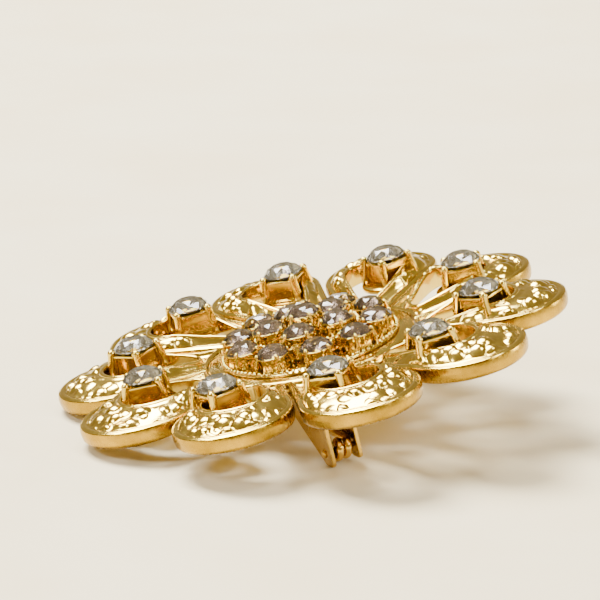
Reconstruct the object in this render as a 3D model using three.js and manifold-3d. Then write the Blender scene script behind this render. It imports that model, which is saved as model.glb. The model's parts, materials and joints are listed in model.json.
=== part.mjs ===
// A round flower brooch of gold-plated cast metal, in millimetres. Ten hollow-backed openwork petals
// stand round a round back plate, all leaning the same way. Each carries a square four-prong setting
// with a round glass stone, and a three-tier cluster of sixteen smaller stones fills the centre. A
// spring pin with a two-turn coil hinges on a bracket behind one petal and closes into a rollover
// catch behind another.
// The origin is the centre of the back plate's rear face. +Z points out through the flower's face.
import * as THREE from "three";
import { mergeVertices } from "three/addons/utils/BufferGeometryUtils.js";
import Module from "manifold-3d";

const wasm = await Module();
wasm.setup();

// ---- driving dimensions ----
const PETALS = 10;
const PETAL_STEP = (2 * Math.PI) / PETALS;
const FIRST_PETAL = -Math.PI / 2; // the first petal's stone stands on -Y, over the pin's hinge
const PETAL_LEAN = PETAL_STEP / 2; // a petal's axis is turned this far from its stone's direction
const PETAL_SIDE = PETAL_STEP / 2; // each straight side leaves the petal's axis at this angle
const AXIS_OFFSET = -3.93; // a petal's axis passes this far beside the flower's centre
const TIP_CENTRE = 19.2; // along the petal's axis
const TIP_RADIUS = 5.78;
const SLOT_INNER_CENTRE = 11.9; // the see-through slot inside a petal: two arcs and their tangents
const SLOT_INNER_RADIUS = 1.1;
const SLOT_OUTER_CENTRE = 17;
const SLOT_OUTER_RADIUS = 3.1;
const RIM_HEIGHT = 1.7; // outer edge of a petal's face
const RIM_DROP = 0.5; // how much lower the face is at the petal's inner end
const RIDGE_HEIGHT = 2.8; // ridge round the slot
const RIDGE_DROP = 1.3;
const FULL_HEIGHT_FROM = 16; // along the petal's axis
const PETAL_WALL = 1; // the hollow back leaves this much wall all round
const HOLLOW_DEPTH = 0.8;
const HOLLOW_FROM = 12.4; // radius round the flower's centre
const SETTING_GAP = 0.1; // between a petal and the setting that is cut to sit on it

const PLATE_RADIUS = 10.3;
const PLATE_GAP = 0.1;
const PLATE_THICKNESS = 1.2;

const STONE_RING = 17.5; // radius of the ring of petal stones
const STONE_RADIUS = 2;
const STONE_GIRDLE = 4.05;
const SEAT_RADIUS = 3;
const SEAT_BOTTOM = 0.9;
const SEAT_TOP = 1.4;
const COLLET_CORNER = 2.5; // centre of the square collet to its corners
const COLLET_TOP = 3.6;
const PRONG_RING = 2.6;
const PRONG_RADIUS = 0.4;
const PRONG_TOP = 4.1;
const STONE_GAP = 0.06;
const POCKET_DEPTH = 1.75; // the cone a petal stone sits in
const STONE_SHAPE = { pavilion: 0.74, edge: 0.06, table: 0.5, crown: 0.55 }; // shares of its radius

const SMALL_STONE_RADIUS = 1.6;
const CUP_RADIUS = 1.7;
const CLAW_RADIUS = 0.2;
const CLAW_RING = 1.75;
const CLAW_OVER_GIRDLE = 0.1;
const CUP_BELOW_GIRDLE = 0.1;
const CUP_LIP = 0.16;
const CUP_POCKET = 1.18;
const TIER_BASE = PLATE_THICKNESS + 0.05;
const OUTER_TIER = { ring: 7.05, girdle: 3.1, inside: 5.45, outside: 8.9, top: 1.55 };
const INNER_TIER = { ring: 3.6, girdle: 3.85, inside: 2.05, outside: 5.35, top: 2.8 };
const CENTRE_GIRDLE = 4.65;
const CENTRE_CLAW_BOTTOM = 3;

const PIN_TURN = PETAL_STEP / 2; // the pin runs behind petals four apart, so off the diameter
const PIN_OFFSET = -5.3; // coil's middle, from the centre line that is parallel to the pin
const COIL_Y = -14.5;
const COIL_Z = -4.6;
const WIRE_RADIUS = 0.4;
const COIL_RADIUS = 0.73;
const COIL_PITCH = 0.88;
const TAIL_LENGTH = 2.2;
const CATCH_Y = 11.4;
const CATCH_Z = -2.55;
const PIN_TIP_Y = 13.6;
const POINT_LENGTH = 1.4;
const SHEET = 0.4;
const EAR_INNER = 1.2; // half the space between the two ears
const EAR_TIP_Z = -5.8;
const EAR_FRONT_Y = -15.9;
const EAR_BACK_Y = -7.2;
const FOOT_TOP = -0.08;
const FOOT_BOTTOM = -0.5;
const EAR_ROUNDING = 0.5;
const BORE_CLEARANCE = 0.03;
const RIVET_RADIUS = 0.27;
const RIVET_HEAD_RADIUS = 0.42;
const RIVET_HEAD_HEIGHT = 0.22;
const RIVET_CLEARANCE = 0.05; // between a head and its ear

const CATCH_LENGTH = 3.2;
const BARREL = { inside: 1, outside: 1.35, from: -31, to: 194 };
const SLEEVE = { inside: 0.55, outside: 0.95 };
const SLEEVE_SLOT = 0.92;
const SLEEVE_SHORTER = 0.1; // than the barrel
const TAB_ANGLE = THREE.MathUtils.degToRad(-157);
const TAB_REACH = 1.95;
const TAB_THICKNESS = 0.24;
const TAB_WIDTH = 1.3;
const CATCH_FOOT = [5.4, 3.6];
const CATCH_WEB = [1.1, 2.8];

const OVERLAP = 0.1; // how far shapes that are joined into one piece run into each other
const LARGE_ROUND = 60; // sides of the round shapes, by size
const MIDDLE_ROUND = 30;
const SMALL_ROUND = 16;
const STONE_SIDES = 12;
const PRONG_SIDES = 8;
const CLAW_SIDES = 6;
const ARC_STEPS = 12;
const PETAL_ARC_STEPS = 9;
const EAR_ARC_STEPS = 6;
const WIRE_ARC_STEPS = 4;
const WIRE_STATIONS = 110;

// ---- materials ----
const metal = (color, roughness) => new THREE.MeshStandardMaterial({ color, roughness, metalness: 1 });
const castGold = () => metal(0xe3c07a, 0.22);
const cupGold = () => metal(0xd9a84a, 0.2);
const wireGold = () => metal(0xd8b366, 0.18);
const plateGold = () => metal(0xdcba74, 0.3);
const glass = (color) => new THREE.MeshStandardMaterial({ color, roughness: 0.04, metalness: 0.1 });

// ---- joining and cutting ----
function solidOf(geometry) {
  const bare = geometry.clone();
  bare.deleteAttribute("normal");
  bare.deleteAttribute("uv");
  const merged = mergeVertices(bare, 1e-4);
  return new wasm.Manifold(
    new wasm.Mesh({
      numProp: 3,
      vertProperties: merged.attributes.position.array,
      triVerts: new Uint32Array(merged.index.array),
    }),
  );
}

function geometryOf(solid) {
  const mesh = solid.getMesh();
  const geometry = new THREE.BufferGeometry();
  geometry.setAttribute("position", new THREE.BufferAttribute(mesh.vertProperties, 3));
  geometry.setIndex(new THREE.BufferAttribute(mesh.triVerts, 1));
  geometry.computeVertexNormals();
  return geometry;
}

const joined = (geometries) => geometries.map(solidOf).reduce((all, next) => all.add(next));

// ---- outlines and basic shapes ----
// The path's points without the doubled ones where two of its curves meet.
function outlinePoints(path, divisions) {
  const points = path.getPoints(divisions);
  return points.filter((point, i) => point.distanceTo(points.at(i - 1)) > 1e-4);
}

// A straight prism over an outline, with an optional hole, from z = 0 up.
function prism(path, depth, divisions, hole) {
  const shape = new THREE.Shape(outlinePoints(path, divisions));
  if (hole) shape.holes.push(new THREE.Path(outlinePoints(hole, divisions)));
  return new THREE.ExtrudeGeometry(shape, { depth, bevelEnabled: false });
}

// A slot with a round outer end at (centre, 0), a round inner end at (inner, 0) and tangent sides.
function slotOutline(centre, radius, inner, innerRadius) {
  const lean = Math.asin((radius - innerRadius) / (centre - inner));
  const turn = Math.PI / 2 + lean;
  return new THREE.Path()
    .absarc(centre, 0, radius, -turn, turn, false)
    .absarc(inner, 0, innerRadius, turn, 2 * Math.PI - turn, false);
}

function upright(radius, bottom, top, sides) {
  return new THREE.CylinderGeometry(radius, radius, top - bottom, sides)
    .rotateX(Math.PI / 2)
    .translate(0, 0, (bottom + top) / 2);
}

// A post with a domed end, standing along Z.
function post(radius, bottom, top, sides) {
  const profile = [
    [0, bottom],
    [radius, bottom],
    [radius, top - radius],
    [radius * 0.75, top - radius * 0.35],
    [0, top],
  ].map(([r, z]) => new THREE.Vector2(r, z));
  return new THREE.LatheGeometry(profile, sides).rotateX(Math.PI / 2);
}

// A straight flat ring between two heights.
function annulus(inside, outside, bottom, top, segments) {
  const profile = [
    [inside, bottom],
    [outside, bottom],
    [outside, top],
    [inside, top],
    [inside, bottom],
  ].map(([r, z]) => new THREE.Vector2(r, z));
  return new THREE.LatheGeometry(profile, segments).rotateX(Math.PI / 2);
}

function block(width, depth, bottom, top) {
  return new THREE.BoxGeometry(width, depth, top - bottom).translate(0, 0, (bottom + top) / 2);
}

// ---- petals ----
const slotSide = Math.asin(
  (SLOT_OUTER_RADIUS - SLOT_INNER_RADIUS) / (SLOT_OUTER_CENTRE - SLOT_INNER_CENTRE),
);
const NEAR = 0.1; // a point this near to the slot's outline is on it

// True on the slot's own outline, false on the petal's outer outline.
function onSlot(x, y) {
  if (x >= SLOT_OUTER_CENTRE) {
    return Math.hypot(x - SLOT_OUTER_CENTRE, y) < SLOT_OUTER_RADIUS + NEAR;
  }
  const along = x - SLOT_INNER_CENTRE;
  const halfWidth = SLOT_INNER_RADIUS / Math.cos(slotSide) + along * Math.tan(slotSide);
  return along > -SLOT_INNER_RADIUS - NEAR && Math.abs(y) < halfWidth + NEAR;
}

// A round tip and two straight sides that run in towards the axis, all set in by the same width.
function petalOutline(setIn) {
  const radius = TIP_RADIUS - setIn;
  const apex = TIP_CENTRE - radius / Math.sin(PETAL_SIDE);
  const inner = PLATE_RADIUS / 2;
  const halfInner = (inner - apex) * Math.tan(PETAL_SIDE);
  const turn = Math.PI / 2 + PETAL_SIDE;
  return new THREE.Path()
    .absarc(TIP_CENTRE, 0, radius, -turn, turn, false)
    .lineTo(inner, halfInner)
    .lineTo(inner, -halfInner);
}

// A petal whose surfaces all stand out by the given width. In the petal's own frame x runs along a
// line through the flower's centre, parallel to its axis.
function petalSolid(grown) {
  const slot = slotOutline(
    SLOT_OUTER_CENTRE,
    SLOT_OUTER_RADIUS - grown,
    SLOT_INNER_CENTRE,
    SLOT_INNER_RADIUS - grown,
  );
  const body = prism(petalOutline(-grown), RIM_HEIGHT, PETAL_ARC_STEPS, slot);
  const position = body.attributes.position;
  for (let i = 0; i < position.count; i += 1) {
    if (position.getZ(i) > 0) {
      const x = position.getX(i);
      const low = THREE.MathUtils.clamp((FULL_HEIGHT_FROM - x) / (FULL_HEIGHT_FROM - PLATE_RADIUS), 0, 1);
      const onRidge = onSlot(x, position.getY(i));
      const height = onRidge ? RIDGE_HEIGHT - RIDGE_DROP * low : RIM_HEIGHT - RIM_DROP * low;
      position.setZ(i, height + grown);
    }
  }
  const depth = HOLLOW_DEPTH - grown;
  const hollow = prism(petalOutline(PETAL_WALL + grown), 2 * depth, PETAL_ARC_STEPS);
  const centreOf = (radius) => solidOf(upright(radius, -RIDGE_HEIGHT, 2 * RIDGE_HEIGHT, LARGE_ROUND));
  const offset = [0, AXIS_OFFSET, 0];
  const pocket = solidOf(hollow.translate(0, 0, -depth))
    .translate(offset)
    .subtract(centreOf(HOLLOW_FROM + grown));
  return solidOf(body)
    .translate(offset)
    .subtract(pocket)
    .subtract(centreOf(PLATE_RADIUS + PLATE_GAP - grown));
}

// ---- stones: crown, table and pavilion turned round the axis, the girdle at z = 0 ----
function stoneGeometry(radius) {
  const profile = [
    [0, -STONE_SHAPE.pavilion],
    [1, 0],
    [1, STONE_SHAPE.edge],
    [STONE_SHAPE.table, STONE_SHAPE.crown],
    [0, STONE_SHAPE.crown],
  ].map(([r, z]) => new THREE.Vector2(r * radius, z * radius));
  return new THREE.LatheGeometry(profile, STONE_SIDES).rotateX(Math.PI / 2);
}

// ---- petal settings: a round seat, a square collet and four prongs at its corners ----
// The petal, with a gap round it, is cut out of the setting where the two run into each other.
function settingGeometry() {
  const collet = solidOf(upright(COLLET_CORNER, SEAT_BOTTOM, COLLET_TOP, 4));
  const pocket = new THREE.ConeGeometry(STONE_RADIUS + STONE_GAP, POCKET_DEPTH, SMALL_ROUND)
    .rotateX(-Math.PI / 2)
    .translate(0, 0, STONE_GIRDLE - POCKET_DEPTH / 2);
  const prongs = [0, 1, 2, 3].map((k) =>
    post(PRONG_RADIUS, SEAT_BOTTOM, PRONG_TOP, PRONG_SIDES)
      .translate(PRONG_RING, 0, 0)
      .rotateZ((k * Math.PI) / 2),
  );
  const seat = upright(SEAT_RADIUS, SEAT_BOTTOM, SEAT_TOP, SMALL_ROUND);
  const stoneX = STONE_RING * Math.cos(PETAL_LEAN);
  const stoneY = -STONE_RING * Math.sin(PETAL_LEAN);
  return geometryOf(
    collet
      .subtract(solidOf(pocket))
      .add(joined([seat, ...prongs]))
      .subtract(petalSolid(SETTING_GAP).translate([-stoneX, -stoneY, 0])),
  );
}

// ---- cluster: cups with a conical pocket and small claws ----
function cupGeometry(bottom, girdle) {
  const top = girdle - CUP_BELOW_GIRDLE;
  const profile = [
    [0, bottom],
    [CUP_RADIUS, bottom],
    [CUP_RADIUS, top],
    [CUP_RADIUS - CUP_LIP, top],
    [0, top - CUP_POCKET],
  ].map(([r, z]) => new THREE.Vector2(r, z));
  return new THREE.LatheGeometry(profile, STONE_SIDES).rotateX(Math.PI / 2);
}

function clawGeometries(count, bottom, girdle, firstAngle) {
  return Array.from({ length: count }, (_, k) =>
    post(CLAW_RADIUS, bottom, girdle + CLAW_OVER_GIRDLE, CLAW_SIDES)
      .translate(CLAW_RING, 0, 0)
      .rotateZ(firstAngle + (2 * Math.PI * k) / count),
  );
}

function tierGeometry(tier, angles) {
  const pieces = [annulus(tier.inside, tier.outside, TIER_BASE, tier.top, MIDDLE_ROUND)];
  for (const angle of angles) {
    const cup = [
      cupGeometry(tier.top - OVERLAP, tier.girdle),
      ...clawGeometries(4, tier.top - OVERLAP, tier.girdle, Math.PI / 4),
    ];
    pieces.push(...cup.map((piece) => piece.translate(tier.ring, 0, 0).rotateZ(angle)));
  }
  return geometryOf(joined(pieces));
}

// ---- hinge bracket, rivet and spring pin, in a frame whose +Y is the pin's direction ----
function hingeBracketGeometry() {
  const outer = EAR_INNER + SHEET;
  const footDepth = EAR_BACK_Y - EAR_FRONT_Y;
  const foot = block(2 * outer, footDepth, FOOT_BOTTOM, FOOT_TOP).translate(
    0,
    (EAR_FRONT_Y + EAR_BACK_Y) / 2,
    0,
  );
  const ear = new THREE.Path();
  ear.moveTo(EAR_FRONT_Y, FOOT_BOTTOM + OVERLAP);
  const corner = EAR_TIP_Z + EAR_ROUNDING;
  ear.lineTo(EAR_FRONT_Y, corner);
  ear.quadraticCurveTo(EAR_FRONT_Y, EAR_TIP_Z, EAR_FRONT_Y + EAR_ROUNDING, EAR_TIP_Z);
  ear.lineTo(COIL_Y, EAR_TIP_Z);
  ear.quadraticCurveTo(COIL_Y + EAR_ROUNDING, EAR_TIP_Z, COIL_Y + 2 * EAR_ROUNDING, corner);
  ear.lineTo(EAR_BACK_Y, FOOT_BOTTOM + OVERLAP);
  const boreRadius = RIVET_RADIUS + BORE_CLEARANCE;
  const bore = new THREE.Path().absarc(COIL_Y, COIL_Z, boreRadius, 0, 2 * Math.PI, true);
  const ears = [-outer, EAR_INNER].map((x) =>
    prism(ear, SHEET, EAR_ARC_STEPS, bore)
      .rotateZ(Math.PI / 2)
      .rotateY(Math.PI / 2)
      .translate(x, 0, 0),
  );
  return geometryOf(joined([foot, ...ears]));
}

function rivetGeometry() {
  const half = EAR_INNER + SHEET + RIVET_CLEARANCE;
  const head = [
    [RIVET_RADIUS, half],
    [RIVET_HEAD_RADIUS, half],
    [0.8 * RIVET_HEAD_RADIUS, half + 0.65 * RIVET_HEAD_HEIGHT],
    [0, half + RIVET_HEAD_HEIGHT],
  ];
  const otherHead = head.map(([r, y]) => [r, -y]).reverse();
  const profile = [...otherHead, ...head].map(([r, y]) => new THREE.Vector2(r, y));
  return new THREE.LatheGeometry(profile, STONE_SIDES).rotateZ(-Math.PI / 2).translate(0, COIL_Y, COIL_Z);
}

// The wire's centre line: a short tail, the coil's turns and the stem.
class PinWire extends THREE.Curve {
  constructor() {
    super();
    this.rise = Math.atan2(CATCH_Z - COIL_Z - COIL_RADIUS, CATCH_Y - COIL_Y);
    this.sweep = 1.75 * 2 * Math.PI - this.rise;
    this.coilLength = this.sweep * COIL_RADIUS;
    this.stemLength = (PIN_TIP_Y - POINT_LENGTH - COIL_Y) / Math.cos(this.rise);
    this.halfWidth = (this.sweep / (2 * Math.PI)) * (COIL_PITCH / 2);
  }

  getPoint(t, target = new THREE.Vector3()) {
    const along = t * (TAIL_LENGTH + this.coilLength + this.stemLength);
    if (along < TAIL_LENGTH) {
      return target.set(-this.halfWidth, COIL_Y + COIL_RADIUS, COIL_Z + TAIL_LENGTH - along);
    }
    const turned = Math.min((along - TAIL_LENGTH) / COIL_RADIUS, this.sweep);
    const x = -this.halfWidth + (COIL_PITCH * turned) / (2 * Math.PI);
    const rest = Math.max(along - TAIL_LENGTH - this.coilLength, 0);
    return target.set(
      x,
      COIL_Y + COIL_RADIUS * Math.cos(turned) + rest * Math.cos(this.rise),
      COIL_Z - COIL_RADIUS * Math.sin(turned) + rest * Math.sin(this.rise),
    );
  }
}

function pinGeometry() {
  const wire = new PinWire();
  const circle = new THREE.Path().absarc(0, 0, WIRE_RADIUS, 0, 2 * Math.PI, false);
  const section = new THREE.Shape(outlinePoints(circle, WIRE_ARC_STEPS));
  const swept = new THREE.ExtrudeGeometry(section, {
    steps: WIRE_STATIONS,
    bevelEnabled: false,
    extrudePath: wire,
  });
  const end = wire.getPoint(1);
  const point = new THREE.ConeGeometry(WIRE_RADIUS, POINT_LENGTH, 2 * WIRE_ARC_STEPS)
    .translate(0, POINT_LENGTH / 2 - OVERLAP, 0)
    .rotateX(wire.rise)
    .translate(end.x, end.y, end.z);
  return geometryOf(joined([swept, point]));
}

// ---- rollover catch: a foot with an open barrel, and a slotted sleeve that turns inside it ----
function arcWall(inside, outside, fromDegrees, toDegrees, length) {
  const from = THREE.MathUtils.degToRad(fromDegrees);
  const to = THREE.MathUtils.degToRad(toDegrees);
  const wall = new THREE.Path()
    .absarc(0, 0, outside, from, to, false)
    .absarc(0, 0, inside, to, from, true);
  return prism(wall, length, ARC_STEPS)
    .rotateX(Math.PI / 2)
    .translate(0, length / 2, 0);
}

function catchBaseGeometry() {
  const barrel = arcWall(BARREL.inside, BARREL.outside, BARREL.from, BARREL.to, CATCH_LENGTH);
  const foot = block(...CATCH_FOOT, FOOT_BOTTOM - CATCH_Z, FOOT_TOP - CATCH_Z);
  const webBottom = (BARREL.inside + BARREL.outside) / 2;
  const web = block(...CATCH_WEB, webBottom, FOOT_BOTTOM - CATCH_Z + OVERLAP);
  return geometryOf(joined([barrel, foot, web]));
}

function catchSleeveGeometry() {
  const length = CATCH_LENGTH - SLEEVE_SHORTER;
  const slotHalf = THREE.MathUtils.radToDeg(Math.asin(SLEEVE_SLOT / 2 / SLEEVE.inside));
  const wall = arcWall(SLEEVE.inside, SLEEVE.outside, -90 + slotHalf, 270 - slotHalf, length);
  const middle = (SLEEVE.inside + SLEEVE.outside) / 2;
  const tab = new THREE.BoxGeometry(TAB_REACH - middle, TAB_WIDTH, TAB_THICKNESS)
    .translate((TAB_REACH + middle) / 2, 0, 0)
    .rotateY(-TAB_ANGLE);
  return geometryOf(joined([wall, tab]));
}

// ---- assembly ----
function place(parent, name, geometry, material, position = [0, 0, 0], turn = 0) {
  const mesh = new THREE.Mesh(geometry, material);
  mesh.name = name;
  mesh.position.set(...position);
  mesh.rotation.z = turn;
  parent.add(mesh);
}

const brooch = new THREE.Group();

const plate = upright(PLATE_RADIUS, 0, PLATE_THICKNESS, LARGE_ROUND);
place(brooch, "back_plate", plate, plateGold());

const petal = geometryOf(petalSolid(0));
const setting = settingGeometry();
const petalStone = stoneGeometry(STONE_RADIUS);
for (let k = 0; k < PETALS; k += 1) {
  const direction = new THREE.Group();
  direction.rotation.z = FIRST_PETAL + k * PETAL_STEP;
  place(direction, `petal_${k + 1}`, petal, castGold(), [0, 0, 0], PETAL_LEAN);
  place(direction, `petal_setting_${k + 1}`, setting, castGold(), [STONE_RING, 0, 0], PETAL_LEAN);
  place(direction, `petal_stone_${k + 1}`, petalStone, glass(0xd9dcd8), [STONE_RING, 0, STONE_GIRDLE]);
  brooch.add(direction);
}

const smallStone = stoneGeometry(SMALL_STONE_RADIUS);
const outerAngles = Array.from({ length: PETALS }, (_, k) => FIRST_PETAL + k * PETAL_STEP);
const innerAngles = outerAngles.filter((_, k) => k % 2 === 0).map((angle) => angle - PETAL_STEP / 2);
const centreClaws = clawGeometries(5, CENTRE_CLAW_BOTTOM, CENTRE_GIRDLE, FIRST_PETAL + PETAL_STEP / 2);
const centreCup = joined([cupGeometry(TIER_BASE, CENTRE_GIRDLE), ...centreClaws]);
place(brooch, "cluster_outer_tier", tierGeometry(OUTER_TIER, outerAngles), cupGold());
place(brooch, "cluster_inner_tier", tierGeometry(INNER_TIER, innerAngles), cupGold());
place(brooch, "cluster_centre_cup", geometryOf(centreCup), cupGold());

function placeClusterStones(tier, angles, name) {
  angles.forEach((angle, k) => {
    const position = [tier.ring * Math.cos(angle), tier.ring * Math.sin(angle), tier.girdle];
    place(brooch, `${name}_${k + 1}`, smallStone, glass(0xc9c6c4), position, angle);
  });
}
placeClusterStones(OUTER_TIER, outerAngles, "outer_cluster_stone");
placeClusterStones(INNER_TIER, innerAngles, "inner_cluster_stone");
place(brooch, "centre_stone", smallStone, glass(0xc9c6c4), [0, 0, CENTRE_GIRDLE]);

const pinSide = new THREE.Group();
pinSide.rotation.z = PIN_TURN;
const stemX = PIN_OFFSET + new PinWire().halfWidth;
place(pinSide, "hinge_bracket", hingeBracketGeometry(), castGold(), [PIN_OFFSET, 0, 0]);
place(pinSide, "hinge_rivet", rivetGeometry(), wireGold(), [PIN_OFFSET, 0, 0]);
place(pinSide, "spring_pin", pinGeometry(), wireGold(), [PIN_OFFSET, 0, 0]);
place(pinSide, "catch_base", catchBaseGeometry(), castGold(), [stemX, CATCH_Y, CATCH_Z]);
place(pinSide, "catch_sleeve", catchSleeveGeometry(), wireGold(), [stemX, CATCH_Y, CATCH_Z]);
brooch.add(pinSide);

export default brooch;
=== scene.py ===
"""A gold-plated flower brooch with hammered openwork petals, foiled glass stones and a spring pin."""
import json
import math
import random

import bmesh
import bpy
from mathutils import Matrix, Vector, noise


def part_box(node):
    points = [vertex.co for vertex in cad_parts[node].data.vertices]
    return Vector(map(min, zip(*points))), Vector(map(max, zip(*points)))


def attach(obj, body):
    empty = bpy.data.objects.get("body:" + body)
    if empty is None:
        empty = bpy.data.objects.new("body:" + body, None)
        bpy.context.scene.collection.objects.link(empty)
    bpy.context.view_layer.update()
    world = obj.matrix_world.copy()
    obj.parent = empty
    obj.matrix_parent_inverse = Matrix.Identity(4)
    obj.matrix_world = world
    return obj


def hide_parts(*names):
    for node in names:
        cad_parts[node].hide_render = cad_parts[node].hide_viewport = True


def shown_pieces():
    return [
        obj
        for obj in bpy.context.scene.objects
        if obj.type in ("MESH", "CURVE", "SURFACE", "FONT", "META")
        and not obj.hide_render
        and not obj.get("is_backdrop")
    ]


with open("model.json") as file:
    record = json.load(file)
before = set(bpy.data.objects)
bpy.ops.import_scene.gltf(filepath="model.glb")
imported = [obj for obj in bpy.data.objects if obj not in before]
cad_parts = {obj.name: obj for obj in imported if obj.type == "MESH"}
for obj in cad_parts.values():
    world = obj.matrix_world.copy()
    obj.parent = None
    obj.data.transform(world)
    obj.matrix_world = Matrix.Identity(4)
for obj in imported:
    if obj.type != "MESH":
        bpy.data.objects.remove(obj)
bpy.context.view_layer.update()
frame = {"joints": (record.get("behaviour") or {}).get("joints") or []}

MM = 0.001
TAU = 2 * math.pi


# ---- places taken from the frame, in millimetres ----
def low_high(node):
    low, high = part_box(node)
    return [c / MM for c in low], [c / MM for c in high]


def middle(node):
    low, high = low_high(node)
    return [(a + b) / 2 for a, b in zip(low, high)]


PETALS = 10
STEP = TAU / PETALS
FIRST = -math.pi / 2  # the first petal's stone stands on -Y
LEAN = STEP / 2  # a petal's axis is turned this far from its stone's direction
SIDE = STEP / 2  # each straight side leaves the petal's axis at this angle
AXIS_OFFSET = -3.93  # a petal's axis passes this far beside the flower's centre
TIP_CENTRE = 19.2
TIP_RADIUS = 5.78
PETAL_APEX = TIP_CENTRE - TIP_RADIUS / math.sin(SIDE)
RIM_Z = 1.7
RIM_DROP = 0.5
RIDGE_Z = low_high("petal_1")[1][2]
RIDGE_DROP = 1.3
FULL_HEIGHT_FROM = 16
WALL = 1.0
HOLLOW_DEPTH = 0.8
HOLLOW_FROM = 12.4

STONE_RING = -middle("petal_stone_1")[1]
STONE_RADIUS = 2.0
STONE_GIRDLE = 4.05
SLOT_RADIUS = 3.1
SLOT_CENTRE = 17.0
SLOT_INNER_CENTRE = 11.9
SLOT_INNER_RADIUS = 1.1

SMALL_RADIUS = 1.6
OUTER_TIER = {"ring": 7.05, "girdle": 3.1, "inside": 5.45, "outside": 8.9, "top": 1.55}
INNER_TIER = {"ring": 3.6, "girdle": 3.85, "inside": 2.05, "outside": 5.35, "top": 2.8}
CENTRE_GIRDLE = 4.65
PLATE_TOP = low_high("back_plate")[1][2]
PLATE_RADIUS = low_high("back_plate")[1][0]
INNER_CUT = PLATE_RADIUS + 0.1  # the petals' inner ends stand round the plate

joints = {joint["name"]: joint for joint in frame["joints"]}
PIN_TURN = STEP / 2  # the pin's direction, from the flower's +Y
PIN_FRAME = Matrix.Rotation(PIN_TURN, 4, "Z")
coil_centre = PIN_FRAME.inverted() @ (Vector(joints["pin_hinge"]["pos_m"]) / MM)
roll_centre = PIN_FRAME.inverted() @ (Vector(joints["catch_roll"]["pos_m"]) / MM)
WIRE = 0.4
COIL_RADIUS = 0.73
COIL_PITCH = 0.88
TAIL = 2.2
STEM_TIP_Y = 13.6
SHEET = 0.4
EAR_INNER = 1.2


# ---- materials ----
def linear(hex_colour):
    """An sRGB hex colour as linear RGBA."""
    out = []
    for i in (0, 2, 4):
        c = int(hex_colour[i:i + 2], 16) / 255
        out.append(c / 12.92 if c <= 0.04045 else ((c + 0.055) / 1.055) ** 2.4)
    return (*out, 1.0)


def node(tree, kind, links=None, **settings):
    """Adds a node, sets its properties or input values, and links inputs to other nodes' outputs."""
    made = tree.nodes.new(kind)
    for key, value in settings.items():
        if hasattr(made, key):
            setattr(made, key, value)
        else:
            made.inputs[key.replace("_", " ")].default_value = value
    for key, (source, output) in (links or {}).items():
        tree.links.new(source.outputs[output], made.inputs[key])
    return made


def new_material(name):
    material = bpy.data.materials.new(name)
    material.use_nodes = True
    tree = material.node_tree
    shader = tree.nodes["Principled BSDF"]
    place = node(tree, "ShaderNodeTexCoord")
    return material, tree, shader, place


def ramp(tree, source, output, stops):
    """A colour ramp with (position, value) stops, values being greys or linear colours."""
    made = node(tree, "ShaderNodeValToRGB", {"Fac": (source, output)})
    elements = made.color_ramp.elements
    while len(elements) < len(stops):
        elements.new(0.5)
    for element, (position, value) in zip(elements, stops):
        element.position = position
        element.color = value if isinstance(value, tuple) else (value, value, value, 1)
    return made


# Sizes of each material's patches, in millimetres.
PLATE_CLOUD = 3.5
GLASS_HAZE = 0.9
FOIL_CLOUD = 0.8
DENT_DEPTH = 0.03


def plated_gold(name, light, deep, smooth, rough, grain_mm, dents):
    """Gold plate on polished metal: a mirror with a soft waviness, a little deeper in patches."""
    material, tree, shader, place = new_material(name)
    cloud = node(tree, "ShaderNodeTexNoise", {"Vector": (place, "Object")},
                 Scale=1 / (PLATE_CLOUD * MM), Detail=3.0, Roughness=0.55)
    grain = node(tree, "ShaderNodeTexNoise", {"Vector": (place, "Object")},
                 Scale=1 / (grain_mm * MM), Detail=4.0, Roughness=0.6)
    tone = ramp(tree, cloud, "Fac", [(0.3, linear(light)), (0.72, linear(deep))])
    gloss = ramp(tree, grain, "Fac", [(0.35, smooth), (0.7, rough)])
    bump = node(tree, "ShaderNodeBump", {"Height": (grain, "Fac")}, Strength=dents,
                Distance=DENT_DEPTH * MM)
    tree.links.new(tone.outputs["Color"], shader.inputs["Base Color"])
    tree.links.new(gloss.outputs["Color"], shader.inputs["Roughness"])
    tree.links.new(bump.outputs["Normal"], shader.inputs["Normal"])
    shader.inputs["Metallic"].default_value = 1.0
    return material


def cut_glass(name, colour, clearer):
    """Machine-cut crystal glass: hard facets that split the light, faintly tinted."""
    material, tree, shader, place = new_material(name)
    haze = node(tree, "ShaderNodeTexNoise", {"Vector": (place, "Object")},
                Scale=1 / (GLASS_HAZE * MM), Detail=2.0)
    tint = ramp(tree, haze, "Fac", [(0.35, linear(colour)), (0.65, linear(clearer))])
    gloss = ramp(tree, haze, "Fac", [(0.3, 0.0), (0.7, 0.03)])
    tree.links.new(tint.outputs["Color"], shader.inputs["Base Color"])
    tree.links.new(gloss.outputs["Color"], shader.inputs["Roughness"])
    shader.inputs["IOR"].default_value = 1.56
    shader.inputs["Transmission Weight"].default_value = 1.0
    return material


def silver_foil(name, light, dark):
    """The mirror foil fired on a stone's back, which gives the clear glass its grey sparkle."""
    material, tree, shader, place = new_material(name)
    cloud = node(tree, "ShaderNodeTexNoise", {"Vector": (place, "Object")},
                 Scale=1 / (FOIL_CLOUD * MM), Detail=2.0)
    tone = ramp(tree, cloud, "Fac", [(0.35, linear(light)), (0.7, linear(dark))])
    tree.links.new(tone.outputs["Color"], shader.inputs["Base Color"])
    shader.inputs["Metallic"].default_value = 1.0
    shader.inputs["Roughness"].default_value = 0.24
    return material


# Clear mirror glints on the hammered bands and deep yellow between them.
CAST_GOLD = plated_gold("gold-plated cast zinc, polished", light="EACC62", deep="D4B448",
                        smooth=0.12, rough=0.2, grain_mm=0.35, dents=0.12)
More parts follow.
